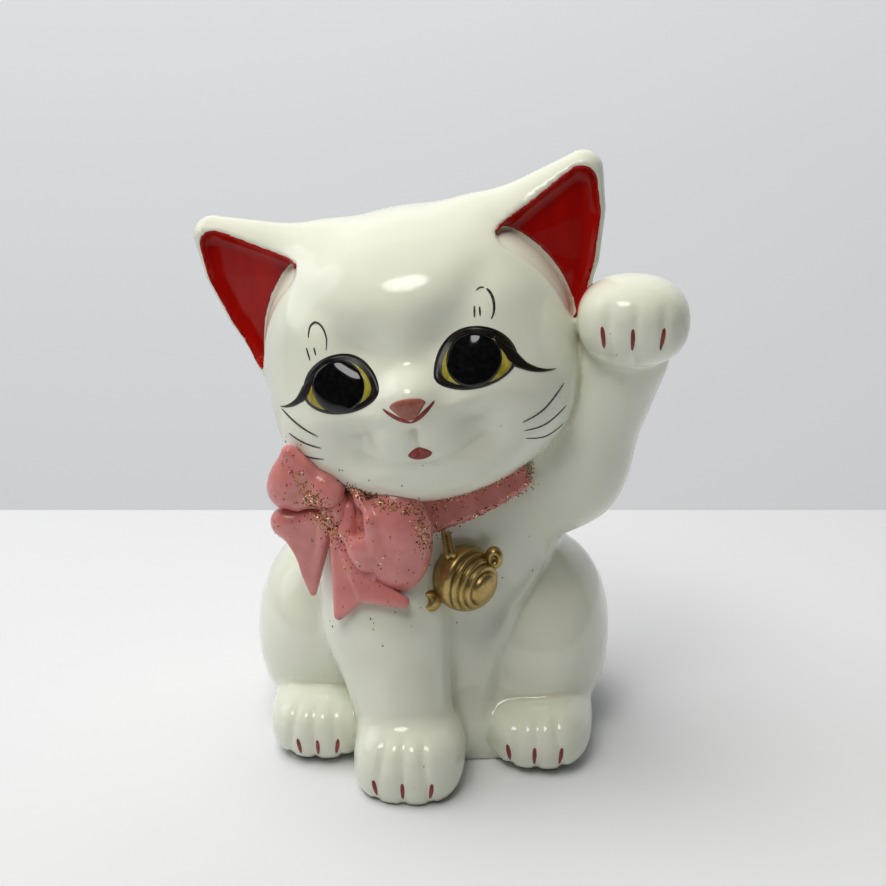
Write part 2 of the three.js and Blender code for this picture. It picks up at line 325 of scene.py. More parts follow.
def arm_form(p):
    d = melt(limb(p, (30, 0, 88), (40, 1, 96), 19, 20), limb(p, (40, 1, 96), (58.5, -4, 136), 20, 15.5), 10)
    return melt(d, raised_paw(p), 2.5)


def tail_form(p):
    path = [(-14, 45, 10), (-4, 49, 10.5), (6, 51, 13), (14.5, 51.5, 17.5)]
    path += [(19, 51.5, 24), (19.8, 52, 31), (17, 52, 38)]
    radii = [9, 8.9, 8.6, 8.2, 7.6, 6.9, 6]
    d = limb(p, path[0], path[1], radii[0], radii[1])
    for i in range(1, len(path) - 1):
        d = melt(d, limb(p, path[i], path[i + 1], radii[i], radii[i + 1]), 2)
    return d


def body_form(p):
    d = torso_form(p)
    for side in (-1, 1):
        d = melt(d, pillow(p, (-4 + side * 34, 6, 31), (27.5, 36, 35), 2.2), 5)
    for side in (-1, 1):
        d = melt(d, standing_paw(p, *HIND_PAWS[side]), 2.5)
    past = (p[:, 0] - np.interp(p[:, 2], (22, 39, 53, 64, 78), (18, 21.5, 27, 36, 40))) * 0.85
    fold = ramp(past, -1.5, 3) * ramp(past, 24, 5) * ramp(p[:, 2], 12, 28) * ramp(p[:, 2], 80, 68)
    d = d + 3 * fold * ramp(-p[:, 1], 2, 14)  # the belly lies over the raised paw's haunch
    d = melt(d, tail_form(p), 5)
    d = melt(d, foreleg_form(p), 5)
    return melt(d, arm_form(p), 6)


def skull_form(q):
    """The head without its ears, in the head's frame."""
    d = pillow(q, (0, 2, 2), (51, 44, 46), 2.15)
    for side in (-1, 1):
        d = melt(d, ellipsoid(q, (side * 20, -14, -12), (26, 28, 23)), 12)
    d = melt(d, ellipsoid(q, (0, -24, -26), (26, 20, 14)), 10)
    for side in (-1, 1):
        d = melt(d, ellipsoid(q, (side * 8.5, -36.5, -12.5), (11, 12, 9)), 8)
    d = melt(d, ellipsoid(q, (0, -41, -1), (8.5, 9, 7.5)), 7)
    x, z = q[:, 0], q[:, 2]
    face = ramp(-q[:, 1], 15, 30)
    for side in (-1, 1):
        socket = np.hypot((x - side * 12) / 10, (z - 14) / 9)
        brow = np.abs((x - side * 21) * 0.76 - side * (z - 22) * 0.65)
        smile = np.abs(z + 22 - 0.012 * x * x)
        under = dent((x - side * 17) / 10, 1) * ramp(z, -4, -12) * ramp(z, -27, -13)
        d = d + face * (3.6 * dent(socket, 1) + 4.6 * under)
        d = d + face * 1.3 * dent(brow, 6) * ramp(z, 5, 14) * ramp(z, 44, 30)
        d = d + face * 0.25 * dent(smile, 1.6) * ramp(np.abs(x), 26, 10)
    groove = 1.0 * dent(x, 1.8) * ramp(z, -8, -11) * ramp(z, -21, -16)
    return d + face * groove


def ear_form(q, side):
    mirror = np.array((side, 1, 1))
    tip, inner = np.array((61, 7, 49)) * mirror, np.array((30, 5, 34)) * mirror
    high, low = np.array((60.6, 5.6, 37)) * mirror, np.array((56, 4.8, 22)) * mirror
    outer = np.array((47, 4, 10)) * mirror
    return np.minimum(
        np.minimum(
            leaf(q, (tip, high, inner), (6.4, 5.6, 12.5)),
            leaf(q, (high, low, inner), (5.6, 5.8, 12.5)),
        ),
        leaf(q, (low, outer, inner), (5.8, 7, 12.5)),
    )


def ear_scoop(q, side):
    mirror = np.array((side, 1, 1))
    tip, inner = np.array((60, -0.5, 46)) * mirror, np.array((34.5, -10, 33)) * mirror
    high, low = np.array((59.9, -1.4, 36)) * mirror, np.array((55.8, -2.6, 22)) * mirror
    outer = np.array((51, -5, 10.5)) * mirror
    return np.minimum(
        np.minimum(leaf(q, (tip, high, inner), (5.4, 5.4, 6)), leaf(q, (high, low, inner), (5.4, 5.3, 6))),
        leaf(q, (low, outer, inner), (5.3, 5.2, 6)),
    )


def head_form(q):
    skull = skull_form(q)
    d = skull
    for side in (-1, 1):
        d = melt(d, ear_form(q, side), 14)
    for side in (-1, 1):
        scoop = carve(ear_scoop(q, side), skull, 1.5)
        d = carve(d, scoop, 1.2)
    return d


def base_hollow(p):
    """The recess, the hole and the hollow above it."""
    reach = np.hypot(p[:, 0] - BASE_HOLE_AT[0], p[:, 1] - BASE_HOLE_AT[1])
    recess = np.maximum(reach - BASE_RECESS_RADIUS, p[:, 2] - BASE_RECESS_DEPTH)
    hole = np.maximum(reach - BASE_HOLE_RADIUS, p[:, 2] - 20)
    hollow = ellipsoid(p, (2, 4, 42), (32, 27, 34.5))
    return np.minimum(np.minimum(recess, hole), hollow)


def cat_form(p):
    d = melt(body_form(p), head_form(in_head(p)), 1.6)
    d = np.maximum(d, -p[:, 2])
    return np.maximum(d, -base_hollow(p))


def slope_of(form, p, step=0.15):
    """The gradient of a form, from four samples round each point."""
    corners = np.array([(1, 1, 1), (1, -1, -1), (-1, 1, -1), (-1, -1, 1)], float)
    return sum(c * form(p + c * step)[:, None] for c in corners) / (4 * step)


def surface_of(form, low, high, cell):
    """The zero surface of a form as points and quads, by surface nets over the blocks that it crosses."""
    size = 6
    low = np.array(low, float)
    blocks = np.ceil((np.array(high, float) - low) / (cell * size)).astype(int)
    shape = blocks * size + 1
    where = np.stack(np.meshgrid(*[np.arange(n) for n in blocks], indexing="ij"), -1).reshape(-1, 3)
    middle = form(low + (where + 0.5) * size * cell)
    field = np.repeat(np.repeat(np.repeat(middle.reshape(blocks), size, 0), size, 1), size, 2)
    field = np.pad(field, ((0, 1),) * 3, mode="edge")
    crossed = where[np.abs(middle) < size * cell * 1.25]
    local = np.stack(np.meshgrid(*[np.arange(size + 1)] * 3, indexing="ij"), -1).reshape(-1, 3)
    nodes = (crossed[:, None] * size + local[None]).reshape(-1, 3)
    flat = np.unique(np.ravel_multi_index(nodes.T, shape))
    nodes = np.stack(np.unravel_index(flat, shape), 1)
    field.reshape(-1)[flat] = form(low + nodes * cell)
    inside = field < 0
    cells = np.zeros(shape - 1, np.int8)
    for dx, dy, dz in np.ndindex(2, 2, 2):
        cells += inside[dx : dx + shape[0] - 1, dy : dy + shape[1] - 1, dz : dz + shape[2] - 1]
    active = np.argwhere((cells > 0) & (cells < 8))
    number = np.full(shape - 1, -1)
    number[tuple(active.T)] = np.arange(len(active))
    total, count = np.zeros((len(active), 3)), np.zeros(len(active))
    for axis in range(3):
        one = np.eye(3, dtype=int)[axis]
        for a, b in np.ndindex(2, 2):
            start = active + np.roll((0, a, b), axis)
            v0, v1 = field[tuple(start.T)], field[tuple((start + one).T)]
            hit = (v0 < 0) != (v1 < 0)
            share = v0[hit] / (v0[hit] - v1[hit])
            total[hit] += start[hit] + share[:, None] * one
            count[hit] += 1
    points = low + total / count[:, None] * cell
    faces = []
    for axis in range(3):
        one, two, three = np.roll(np.eye(3, dtype=int), -axis, 0)
        v0 = inside[tuple(slice(None, -1) if i == axis else slice(None) for i in range(3))]
        v1 = inside[tuple(slice(1, None) if i == axis else slice(None) for i in range(3))]
        edge = np.argwhere(v0 != v1)
        edge = edge[(edge @ two > 0) & (edge @ three > 0)]
        ring = [edge, edge - two, edge - two - three, edge - three]
        quad = np.stack([number[tuple(c.T)] for c in ring], 1)
        outward = v0[tuple(edge.T)]
        faces.append(np.where(outward[:, None], quad, quad[:, ::-1]))
    return points, np.concatenate(faces)


def settle(form, points, rounds=2):
    """Moves points onto the form's surface."""
    for _ in range(rounds):
        slope = slope_of(form, points)
        step = form(points)[:, None] * slope / np.maximum((slope**2).sum(1), 0.2)[:, None]
        points = points - np.clip(step, -0.8, 0.8)
    return points


def piece_from(name, points, faces, material, smooth=True):
    """A mesh object from points in millimetres in the cat's frame."""
    mesh = bpy.data.meshes.new(name)
    mesh.from_pydata(in_row(points), [], [tuple(int(i) for i in f) for f in faces])
    mesh.materials.append(material)
    mesh.polygons.foreach_set("use_smooth", [smooth] * len(mesh.polygons))
    piece = bpy.data.objects.new(name, mesh)
    bpy.context.scene.collection.objects.link(piece)
    return piece


CASTING_CELL = 1.25
# Clear cream glaze over white clay: a wet gloss with a faint waviness, painted shade as a darker, greener
# tint in the creases, a few iron specks, and a bare underside, wiped clean so that it doesn't stick in the
# kiln.
glaze = new_material("white_glaze")
place = add(glaze, "ShaderNodeTexCoord").outputs["Object"]
drift = add(glaze, "ShaderNodeTexNoise", {"Vector": place}, Scale=1 / 0.04, Detail=2)
cream = mix(glaze, drift.outputs["Fac"], "EBEDDD", "E2E5D3")
# painted shade: the cream turns darker and greener where the surface curves inward, as in the creases
bend = add(glaze, "ShaderNodeNewGeometry").outputs["Pointiness"]
crease = add(glaze, "ShaderNodeMapRange", {"Value": bend}, **{"From Min": 0.485, "From Max": 0.45})
crease_shaded = add(
    glaze, "ShaderNodeMixRGB", {"Fac": crease.outputs["Result"], "Color1": cream.outputs["Color"]},
    Color2=linear("D4D3BA"),
)
cells = add(glaze, "ShaderNodeTexVoronoi", {"Vector": place}, Scale=1 / 0.012)
dots = add(
    glaze, "ShaderNodeMapRange", {"Value": cells.outputs["Distance"]},
    **{"From Min": 0.04, "From Max": 0.02},
)
specked = add(
    glaze, "ShaderNodeMixRGB", {"Fac": dots.outputs["Result"], "Color1": crease_shaded.outputs["Color"]},
    Color2=linear("9C8A68"),
)
height = add(glaze, "ShaderNodeSeparateXYZ", {"Vector": place}).outputs["Z"]
bare = add(glaze, "ShaderNodeMapRange", {"Value": height}, **{"From Min": 0.0006, "From Max": 0.0002})
colour = add(
    glaze, "ShaderNodeMixRGB", {"Fac": bare.outputs["Result"], "Color1": specked.outputs["Color"]},
    Color2=linear("DCCBA8"),
)
patch = add(glaze, "ShaderNodeTexNoise", {"Vector": place}, Scale=1 / 0.009, Detail=3)
gloss = add(glaze, "ShaderNodeMapRange", {"Value": patch.outputs["Fac"]}, **{"To Min": 0.08, "To Max": 0.2})
rough = add(
    glaze, "ShaderNodeMath", {0: gloss.outputs["Result"], 1: bare.outputs["Result"]}, operation="MAXIMUM"
)
peel = add(glaze, "ShaderNodeTexNoise", {"Vector": place}, Scale=1 / 0.004, Detail=1)
wave = add(glaze, "ShaderNodeTexNoise", {"Vector": place}, Scale=1 / 0.018, Detail=1)
fine = add(glaze, "ShaderNodeBump", {"Height": peel.outputs["Fac"]}, Strength=0.25, Distance=0.0002)
bump = add(
    glaze, "ShaderNodeBump", {"Height": wave.outputs["Fac"], "Normal": fine.outputs["Normal"]},
    Strength=0.4, Distance=0.0012,
)
surface(
    glaze,
    {
        "Base Color": colour.outputs["Color"],
        "Roughness": rough.outputs["Value"],
        "Normal": bump.outputs["Normal"],
    },
    **{"Coat Weight": 0.3, "Coat Roughness": 0.1},
)

casting_points, casting_faces = surface_of(cat_form, (-90, -74, -3), (88, 66, 208), CASTING_CELL)
casting_points = settle(cat_form, casting_points)
casting = piece_from("glazed_casting", casting_points, casting_faces, glaze)
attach(casting, "figure")
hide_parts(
    "torso", "head", "ear_left", "ear_right", "haunch_left", "haunch_right",
    "hind_paw_left", "hind_paw_right", "foreleg_right", "front_paw_right", "arm_left",
    "raised_paw_left", "tail",
)

# ------------------------------------------------------------------ ear linings
# Deep red gloss enamel brushed into the scooped front of each ear, thick enough to level itself, and cut
# in by hand along the white rim, in streaks of a darker and a brighter red.

FILM = 0.3  # mm that the enamel stands proud of the glaze


def lining_form(p, side):
    q = in_head(p)
    glazed = cat_form(p)
    field = np.maximum(ear_scoop(q, side) + glazed - 0.35, 0.9 - skull_form(q) + glazed)
    return np.maximum(np.maximum(glazed - FILM, -glazed - 1.6), field)


red_enamel = new_material("red_gloss_enamel")
place = add(red_enamel, "ShaderNodeTexCoord").outputs["Object"]
flow = add(red_enamel, "ShaderNodeMapping", {"Vector": place}, Scale=(1, 1, 0.18))
drift = add(red_enamel, "ShaderNodeTexNoise", {"Vector": flow.outputs["Vector"]}, Scale=1 / 0.004, Detail=3)
colour = mix(red_enamel, drift.outputs["Fac"], "8C0302", "B41206")
bristle = add(
    red_enamel, "ShaderNodeTexNoise", {"Vector": flow.outputs["Vector"]}, Scale=1 / 0.0012,
    Detail=1,
)
bump = add(red_enamel, "ShaderNodeBump", {"Height": bristle.outputs["Fac"]}, Strength=0.15, Distance=0.0001)
surface(
    red_enamel, {"Base Color": colour.outputs["Color"], "Normal": bump.outputs["Normal"]},
    **{"Roughness": 0.16, "Specular IOR Level": 0.15, "Coat Weight": 0.15, "Coat Roughness": 0.06},
)

ENAMEL_CELL = 0.7
for side, name in ((-1, "right"), (1, "left")):
    middle = HEAD_TURN @ np.array((side * 50, -3, 30)) + HEAD_AT

    def one_lining(p):
        return lining_form(p, side)

    points, faces = surface_of(one_lining, middle - (30, 16, 32), middle + (30, 16, 32), ENAMEL_CELL)
    lining = piece_from("ear_enamel_" + name, settle(one_lining, points), faces, red_enamel)
    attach(lining, "figure")
    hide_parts("ear_lining_" + name)

# ------------------------------------------------------------------ eyes
# Painted in three coats over the glaze: brown-black lids with a lash flicked out at the corner, a yellow
# iris in the opening between them, and a thick pool of gloss black for the pupil, which domes as it dries.

casting_tree = BVHTree.FromPolygons(casting_points.tolist(), casting_faces.tolist())


def surface_under(points, direction):
    """Where rays along a direction meet the casting, and the casting's own normals there."""
    hits = []
    for point in points:
        place, *_ = casting_tree.ray_cast(Vector(point), Vector(direction))
        hits.append(place if place is not None else casting_tree.find_nearest(Vector(point))[0])
    hits = settle(cat_form, np.array(hits, float), 1)
    slope = slope_of(cat_form, hits)
    return hits, slope / np.linalg.norm(slope, axis=1, keepdims=True)


def curve_through(corners, steps):
    """A smooth line through a few corners."""
    c = np.array(corners, float)
    count = len(c)
    out = []
    for i in range(count - 1):
        ring = [min(max(i + k, 0), count - 1) for k in (-1, 0, 1, 2)]
        a, b, d, e = c[ring]
        for t in np.arange(steps) / steps:
            out.append(b + 0.5 * t * (d - a + t * (2 * a - 5 * b + 4 * d - e + t * (3 * (b - d) + e - a))))
    out.append(c[-1])
    return np.array(out)


def head_rays(drawn):
    """Points of a face drawing, x and z in the head's frame, as rays towards the face in the cat's frame."""
    flat = np.stack([drawn[:, 0], np.full(len(drawn), -90.0), drawn[:, 1]], 1)
    return flat @ HEAD_TURN.T + HEAD_AT, HEAD_TURN[:, 1]


def body_rays(drawn):
    """The same for a drawing on the paws, x and z in the cat's frame."""
    return np.stack([drawn[:, 0], np.full(len(drawn), -120.0), drawn[:, 1]], 1), np.array((0.0, 1.0, 0.0))


def coat(name, drawing, lift, rays, material, base=0.1):
    """A closed film of paint over a flat drawing: it stands base off the glaze and swells by lift inside.

    A drawing is its points, its faces, and how near the rim each point is, from 0 to 1 on the rim."""
    flat, faces, edge = drawing
    points, direction = rays(flat)
    place, normal = surface_under(points, direction)
    top = place + normal * (base + lift * (1 - edge**3))[:, None]
    bottom = place - normal * 0.35
    count = len(flat)
    rim = {(a, b) for face in faces for a, b in zip(face, (*face[1:], face[0]))}
    walls = [(b, a, a + count, b + count) for a, b in sorted(rim) if (b, a) not in rim]
    under = [tuple(i + count for i in reversed(face)) for face in faces]
    piece = piece_from(name, np.concatenate([top, bottom]), [*faces, *under, *walls], material)
    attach(piece, "figure")
    return piece


def fan(outline, rings):
    """A drawing of rings from an outline, anticlockwise, in to its middle."""
    middle = outline.mean(0)
    shares = np.linspace(1, 0, rings, endpoint=False)
    points = [middle + (outline - middle) * share for share in shares]
    edge = [np.full(len(outline), share) for share in shares]
    size = len(outline)
    faces = []
    for ring in range(rings - 1):
        for i in range(size):
            j = (i + 1) % size
            faces.append((ring * size + i, ring * size + j, (ring + 1) * size + j, (ring + 1) * size + i))
    last = (rings - 1) * size
    faces += [(last + i, last + (i + 1) % size, rings * size) for i in range(size)]
    return np.concatenate([*points, middle[None]]), faces, np.concatenate([*edge, np.zeros(1)])


def stroke(path, widths):
    """The drawing of a brush stroke: five points across a line whose width changes along it."""
    path = np.array(path, float)
    along = np.gradient(path, axis=0)
    along /= np.linalg.norm(along, axis=1, keepdims=True)
    across = np.stack([along[:, 1], -along[:, 0]], 1)
    lanes = np.array((-1, -0.6, 0, 0.6, 1))
    points = path[:, None] + across[:, None] * lanes[None, :, None] * np.array(widths)[:, None, None] / 2
    edge = np.tile(np.abs(lanes), len(path))
    edge[:5] = edge[-5:] = 1
    faces = [(a, a + 1, a + 6, a + 5) for i in range(len(path) - 1) for a in range(i * 5, i * 5 + 4)]
    return points.reshape(-1, 2), faces, edge


def brushed(corners, widest, tail=0.25):
    """A stroke through a few corners that starts fine, swells and lifts off to a point."""
    path = curve_through(corners, 6)
    t = np.linspace(0, 1, len(path))
    return stroke(path, widest * (tail + (1 - tail) * np.sin(np.pi * t**0.8) ** 0.7))


def flat_paint(name, patch, detail, levels, colours, roughness):
    """Thin paint of two colours, one showing through the other in patches this many metres wide."""
    paint = new_material(name)
    place = add(paint, "ShaderNodeTexCoord").outputs["Object"]
    cover = add(paint, "ShaderNodeTexNoise", {"Vector": place}, Scale=1 / patch, Detail=detail)
    share = add(
        paint, "ShaderNodeMapRange", {"Value": cover.outputs["Fac"]},
        **{"From Min": levels[0], "From Max": levels[1]},
    )
    colour = mix(paint, share.outputs["Result"], *colours)
    surface(paint, {"Base Color": colour.outputs["Color"]}, Roughness=roughness)
    return paint


# lid paint: thin brown-black, so its bristle marks show, nearly matt
lid_paint = new_material("lid_black_brown")
place = add(lid_paint, "ShaderNodeTexCoord").outputs["Object"]
flow = add(lid_paint, "ShaderNodeMapping", {"Vector": place}, Scale=(0.22, 1, 1))
bristle = add(
    lid_paint, "ShaderNodeTexNoise", {"Vector": flow.outputs["Vector"]}, Scale=1 / 0.0009, Detail=2,
)
streak = add(
    lid_paint, "ShaderNodeMapRange", {"Value": bristle.outputs["Fac"]},
    **{"From Min": 0.35, "From Max": 0.7},
)
colour = mix(lid_paint, streak.outputs["Result"], "0A0807", "21170F")
gloss = add(
    lid_paint, "ShaderNodeMapRange", {"Value": bristle.outputs["Fac"]},
    **{"To Min": 0.2, "To Max": 0.45},
)
bump = add(lid_paint, "ShaderNodeBump", {"Height": bristle.outputs["Fac"]}, Strength=0.3, Distance=0.0001)
surface(
    lid_paint,
    {
        "Base Color": colour.outputs["Color"],
        "Roughness": gloss.outputs["Result"],
        "Normal": bump.outputs["Normal"],
    },
)
# iris paint: olive yellow over a paler first coat that shows through it in places
iris_paint = flat_paint("iris_yellow", 0.003, 3, (0.35, 0.65), ("8C8212", "B8A94A"), 0.3)
# pupil paint: black gloss enamel that has flowed out flat, with a little dust dried in
pupil_paint = new_material("pupil_gloss_black")
place = add(pupil_paint, "ShaderNodeTexCoord").outputs["Object"]
dust = add(pupil_paint, "ShaderNodeTexNoise", {"Vector": place}, Scale=1 / 0.0015, Detail=4)
grey = add(
    pupil_paint, "ShaderNodeMapRange", {"Value": dust.outputs["Fac"]},
    **{"From Min": 0.45, "From Max": 0.8},
)
colour = mix(pupil_paint, grey.outputs["Result"], "040405", "141417")
bump = add(pupil_paint, "ShaderNodeBump", {"Height": dust.outputs["Fac"]}, Strength=0.08, Distance=0.0001)
surface(
    pupil_paint, {"Base Color": colour.outputs["Color"], "Normal": bump.outputs["Normal"]},
    **{"Roughness": 0.1, "Specular IOR Level": 0.3, "Coat Weight": 0.4, "Coat Roughness": 0.04},
)

# The two eyes were painted freehand, so their sizes differ a little. x runs out from an eye's middle, away
# from the nose, in mm. Lids and opening: inner corner, outer corner, rise above and drop below their line.
# Lash: where it starts, the point its bend is drawn towards, and its tip.
EYES = {
    "left": {
        "side": 1,
        "middle": (21, 7),
        "lids": ((-12.5, -3), (13, -3), 11.5, 6),
        "opening": ((-10, -3), (11, -4), 9.5, 4.5),
        "pupil": (0, -1),
        "lash": ((7, 4.5), (12.5, -8), (23, -11)),
        "lash_width": 4.2,
    },
    "right": {
        "side": -1,
        "middle": (-20.5, 5),
        "lids": ((-12, -2), (13, -2.5), 11, 6),
        "opening": ((-9.5, -2), (11.5, -3), 9, 4.5),
        "pupil": (1, -0.5),
        "lash": ((8, 4), (13.5, -5.5), (23, -7)),
        "lash_width": 3.6,
    },
}
PUPIL = (8.4, 7.5)  # half its width and height


def almond(inner, outer, rise, drop, fullness=(0.55, 0.55)):
    """A closed outline from corner to corner, anticlockwise; a low fullness is round, a high one pointed."""
    turn = np.linspace(0, 2 * np.pi, 64, endpoint=False)
    share = (1 + np.cos(turn)) / 2
    upper = rise * np.clip(np.sin(turn), 0, 1) ** (2 * fullness[0])
    lower = drop * np.clip(-np.sin(turn), 0, 1) ** (2 * fullness[1])
    ends = np.array(inner)[None] + (np.array(outer) - inner)[None] * share[:, None]
    return ends + np.stack([np.zeros(len(turn)), upper - lower], 1)


def drawn_on(eye, drawing):
    """A drawing round an eye's middle, placed in the head's frame; a mirrored one has its faces turned."""
    points, faces, edge = drawing
    side = eye["side"]
    placed = points * (side, 1) + eye["middle"]
    return placed, faces if side > 0 else [tuple(reversed(face)) for face in faces], edge


for name, eye in EYES.items():
    lids = fan(almond(*eye["lids"]), 9)
    lids = coat("eye_lids_" + name, drawn_on(eye, lids), 0.1, head_rays, lid_paint)
    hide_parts("eye_" + name)

    t = np.linspace(0, 1, 36)
    start, bend, tip = np.array(eye["lash"])[:, None]
    path = start * (1 - t[:, None]) ** 2 + 2 * bend * (t * (1 - t))[:, None] + tip * t[:, None] ** 2
    widths = eye["lash_width"] * np.interp(t, (0, 0.3, 0.55, 1), (0.2, 1, 0.5, 0.04))
    lash = coat("eye_lash_" + name, drawn_on(eye, stroke(path, widths)), 0.14, head_rays, lid_paint)

    iris = fan(almond(*eye["opening"]), 8)
    iris = coat("eye_iris_" + name, drawn_on(eye, iris), 0.05, head_rays, iris_paint, base=0.2)

    turn = np.linspace(0, 2 * np.pi, 56, endpoint=False)
    pupil = fan(np.stack([np.cos(turn), np.sin(turn)], 1) * PUPIL + eye["pupil"], 10)
    pupil = coat("eye_pupil_" + name, drawn_on(eye, pupil), 0.75, head_rays, pupil_paint, base=0.26)

# ------------------------------------------------------------------ nose, mouth, whiskers and brows
# Brushwork over the glaze: a salmon nose pad with a dark red line under it, a small red mouth, and hair
# lines put on with a fine liner brush, each a single stroke that swells and lifts off.

# nose paint: salmon, browner in patches; the pad is thicker towards its middle, where the brush was lifted
nose_paint = flat_paint("nose_salmon", 0.004, 3, (0.35, 0.65), ("AE6A58", "8E4E40"), 0.3)
# brick red line paint: darker and brighter red in patches about two millimetres wide
brick_paint = flat_paint("brick_red_paint", 0.002, 2, (0.35, 0.65), ("9C3028", "641814"), 0.3)
# liner paint: thin black, greyer where the hairs of the brush ran dry
liner_paint = flat_paint("liner_black", 0.001, 3, (0.4, 0.75), ("1B1B18", "55554C"), 0.35)

# a rounded triangle: a low arch above its corners and a blunt point below
nose = coat(
    "nose_pad", fan(almond((-5.5, -2), (5.5, -2), 2.5, 4.5, (0.5, 1.4)), 7), 0.2, head_rays,
    nose_paint,
)
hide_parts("nose")

# the line under it, a wide V with a round foot
across = np.linspace(-1, 1, 31)
path = np.stack([8 * across, -7.4 + 5.2 * np.abs(across) ** 1.3], 1)
reach = np.abs(across)
widths = 0.4 + 1.0 * np.sin(np.pi * np.clip(reach, 0, 1) ** 0.9) ** 0.8
widths[[0, -1]] = 0.1
nose_line = coat("nose_line", stroke(path, widths), 0.1, head_rays, brick_paint)

mouth = coat(
    "mouth_dab", fan(almond((-3.5, -18.5), (4, -18.5), 2, 2, (0.8, 0.6)), 6), 0.15, head_rays,
    brick_paint,
)
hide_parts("mouth")



def hair(start, length, degrees, sag=0.0):
    """The corners of a hair line that leaves its start at an angle and sags in the middle."""
    way = np.array((math.cos(math.radians(degrees)), math.sin(math.radians(degrees))))
    return [start, np.array(start) + way * length / 2 - (0, sag), np.array(start) + way * length]


def arch(middle, radii, first, last):
    """The corners of a stretch of an ellipse between two angles in degrees."""
    turn = np.radians(np.linspace(first, last, 6))
    return np.array(middle) + np.stack([np.cos(turn), np.sin(turn)], 1) * radii


# three whiskers fan out on each cheek: the root of the highest, the step down to the next, the highest
# one's lift in degrees and what each next one loses of it, its length, each one's loss of that, and the sag
WHISKERS = {
    "right": (-1, (-31, -10), 4, 32, 12, 14, 2.5, 0.3),
    "left": (1, (32, -16), 3, 25, 18, 15, 2, 1.4),
}
hair_lines = {}
for name, (side, (x, z), step, lift, less_lift, length, shorter, sag) in WHISKERS.items():
    for n in range(3):
        degrees = lift - n * less_lift if side > 0 else 180 - lift + n * less_lift
        root_first = hair((x, z - n * step), length - n * shorter, degrees, sag)
        hair_lines[f"whisker_{name}_{n + 1}"] = (root_first[::-1], 0.7 - 0.05 * n if side < 0 else 0.55)
# each brow is an arch open below, with two ticks under it or beside it
hair_lines |= {
    "brow_right_arch": (arch((-26, 18.5), (3, 5), 170, -40), 0.6),
    "brow_right_tick_1": (hair((-30, 16.5), 3.7, -80, 0.2), 0.55),
    "brow_right_tick_2": (hair((-27.5, 16.5), 2.3, -82), 0.55),
    "brow_left_hook": (arch((26, 20.5), (3.3, 5), 115, 72), 0.45),
    "brow_left_arch": (arch((26, 20.5), (3.3, 5), 60, -55), 0.8),
    "brow_left_tick_1": (hair((23.5, 21), 3.3, -98), 0.6),
    "brow_left_tick_2": (hair((25, 20.5), 2.6, -95), 0.6),
}
for name, (corners, width) in hair_lines.items():
    line = coat(name, brushed(corners, width), 0.08, head_rays, liner_paint)

# ------------------------------------------------------------------ claws
# Three dabs of brick red across the foot of each paw's toes, pulled down with a loaded brush:
# dark where the paint pools and thin at both ends.

# the middle dab's x, the gap to the next, the top of the dabs and their length, in mm
CLAWS = {
    "front_right": (-5, 9.5, 9.3, 6.5),
    "hind_right": (-36.5, 6.7, 10.7, 6),
    "hind_left": (35.5, 9, 11.5, 7),
    "raised_left": (62, 9.5, 151.4, 7.2),
}
for paw, (middle_x, gap, top, length) in CLAWS.items():
    for number, step in enumerate((-1, 0, 1), 1):
        upper = (middle_x + step * gap, top)
        lower = (middle_x + step * (gap - 0.9), top - length)
        middle = ((upper[0] + lower[0]) / 2 + 0.1, (upper[1] + lower[1]) / 2)
        dab = coat(
            f"claw_{paw}_{number}", brushed([upper, middle, lower], 1.35, 0.15), 0.14, body_rays,
            brick_paint,
        )

# ------------------------------------------------------------------ ribbon and bow
# A ribbon tied round the neck, moulded in the clay: a band in the crease under the head, a knot, two loops
# and two swallow tails that lie on the shoulder, cold-painted pink over the glaze.

RIBBON_THICKNESS = 3
BAND_END = (48, -8, 104)  # the raised arm's root hides the band inside this ball
BAND_END_RADIUS = 22.6


def ribbon_band_form(p):
    """The band fills the neck's crease, as deep under the head as the width there and proud of the chest."""
    width = np.interp(p[:, 0], (2, 31), (10.4, 6.8))
    body = body_form(p)
    d = carve(body - RIBBON_THICKNESS, width - head_form(in_head(p)), 2)
    d = carve(d, ellipsoid(p, BAND_END, (BAND_END_RADIUS,) * 3), 2)
    return np.maximum(np.maximum(d, -body - 2), p[:, 2] - 116)


def upper_loop_form(p):
    """The upper loop: a puffed lobe that tucks up beside the cheek, with a fold running to the knot."""
    d = leaf(p, ((-43.5, -42, 111), (-46, -39, 98), (-31, -42, 98)), (2.6, 4.8, 5))
    d = melt(d, ellipsoid(p, (-43.5, -39.5, 99), (7, 6.5, 9)), 4)
    d = melt(d, ellipsoid(p, (-34, -38, 101), (7, 6.5, 6)), 3)
    return d + 1.0 * dent((p[:, 0] + 39) * 0.55 - (p[:, 2] - 99) * 0.4, 1.6)


def lower_loop_form(p):
    """A plump loop with its open side rolled over at the knot."""
    d = ellipsoid(p, (-10, -42.5, 83.3), (12, 8.3, 18.3))
    roll = melt(
        limb(p, (-25, -42, 93), (-25, -43.5, 86), 2.4, 3),
        limb(p, (-25, -43.5, 86), (-19, -47, 77.5), 3, 3.6),
        2,
    )
    lip = melt(
        limb(p, (-22.5, -42, 100), (-17.6, -48.3, 91.5), 1.8, 2.1),
        limb(p, (-17.6, -48.3, 91.5), (-15.5, -48, 83), 2.1, 3),
        2,
    )
    d = melt(d, np.minimum(roll, lip), 2)
    d = carve(d, ellipsoid(p, (-21.5, -49.5, 89.5), (2.7, 5.5, 7.5)), 1.2)
    return melt(d, ellipsoid(p, (-20.2, -47, 81.5), (4.2, 4, 4.8)), 2)


def knot_form(p):
    d = ellipsoid(p, (-29.5, -41, 92), (5, 5, 7))
    return d + 0.6 * dent(p[:, 0] + 29.5 + (p[:, 2] - 92) * 0.3, 1.0)


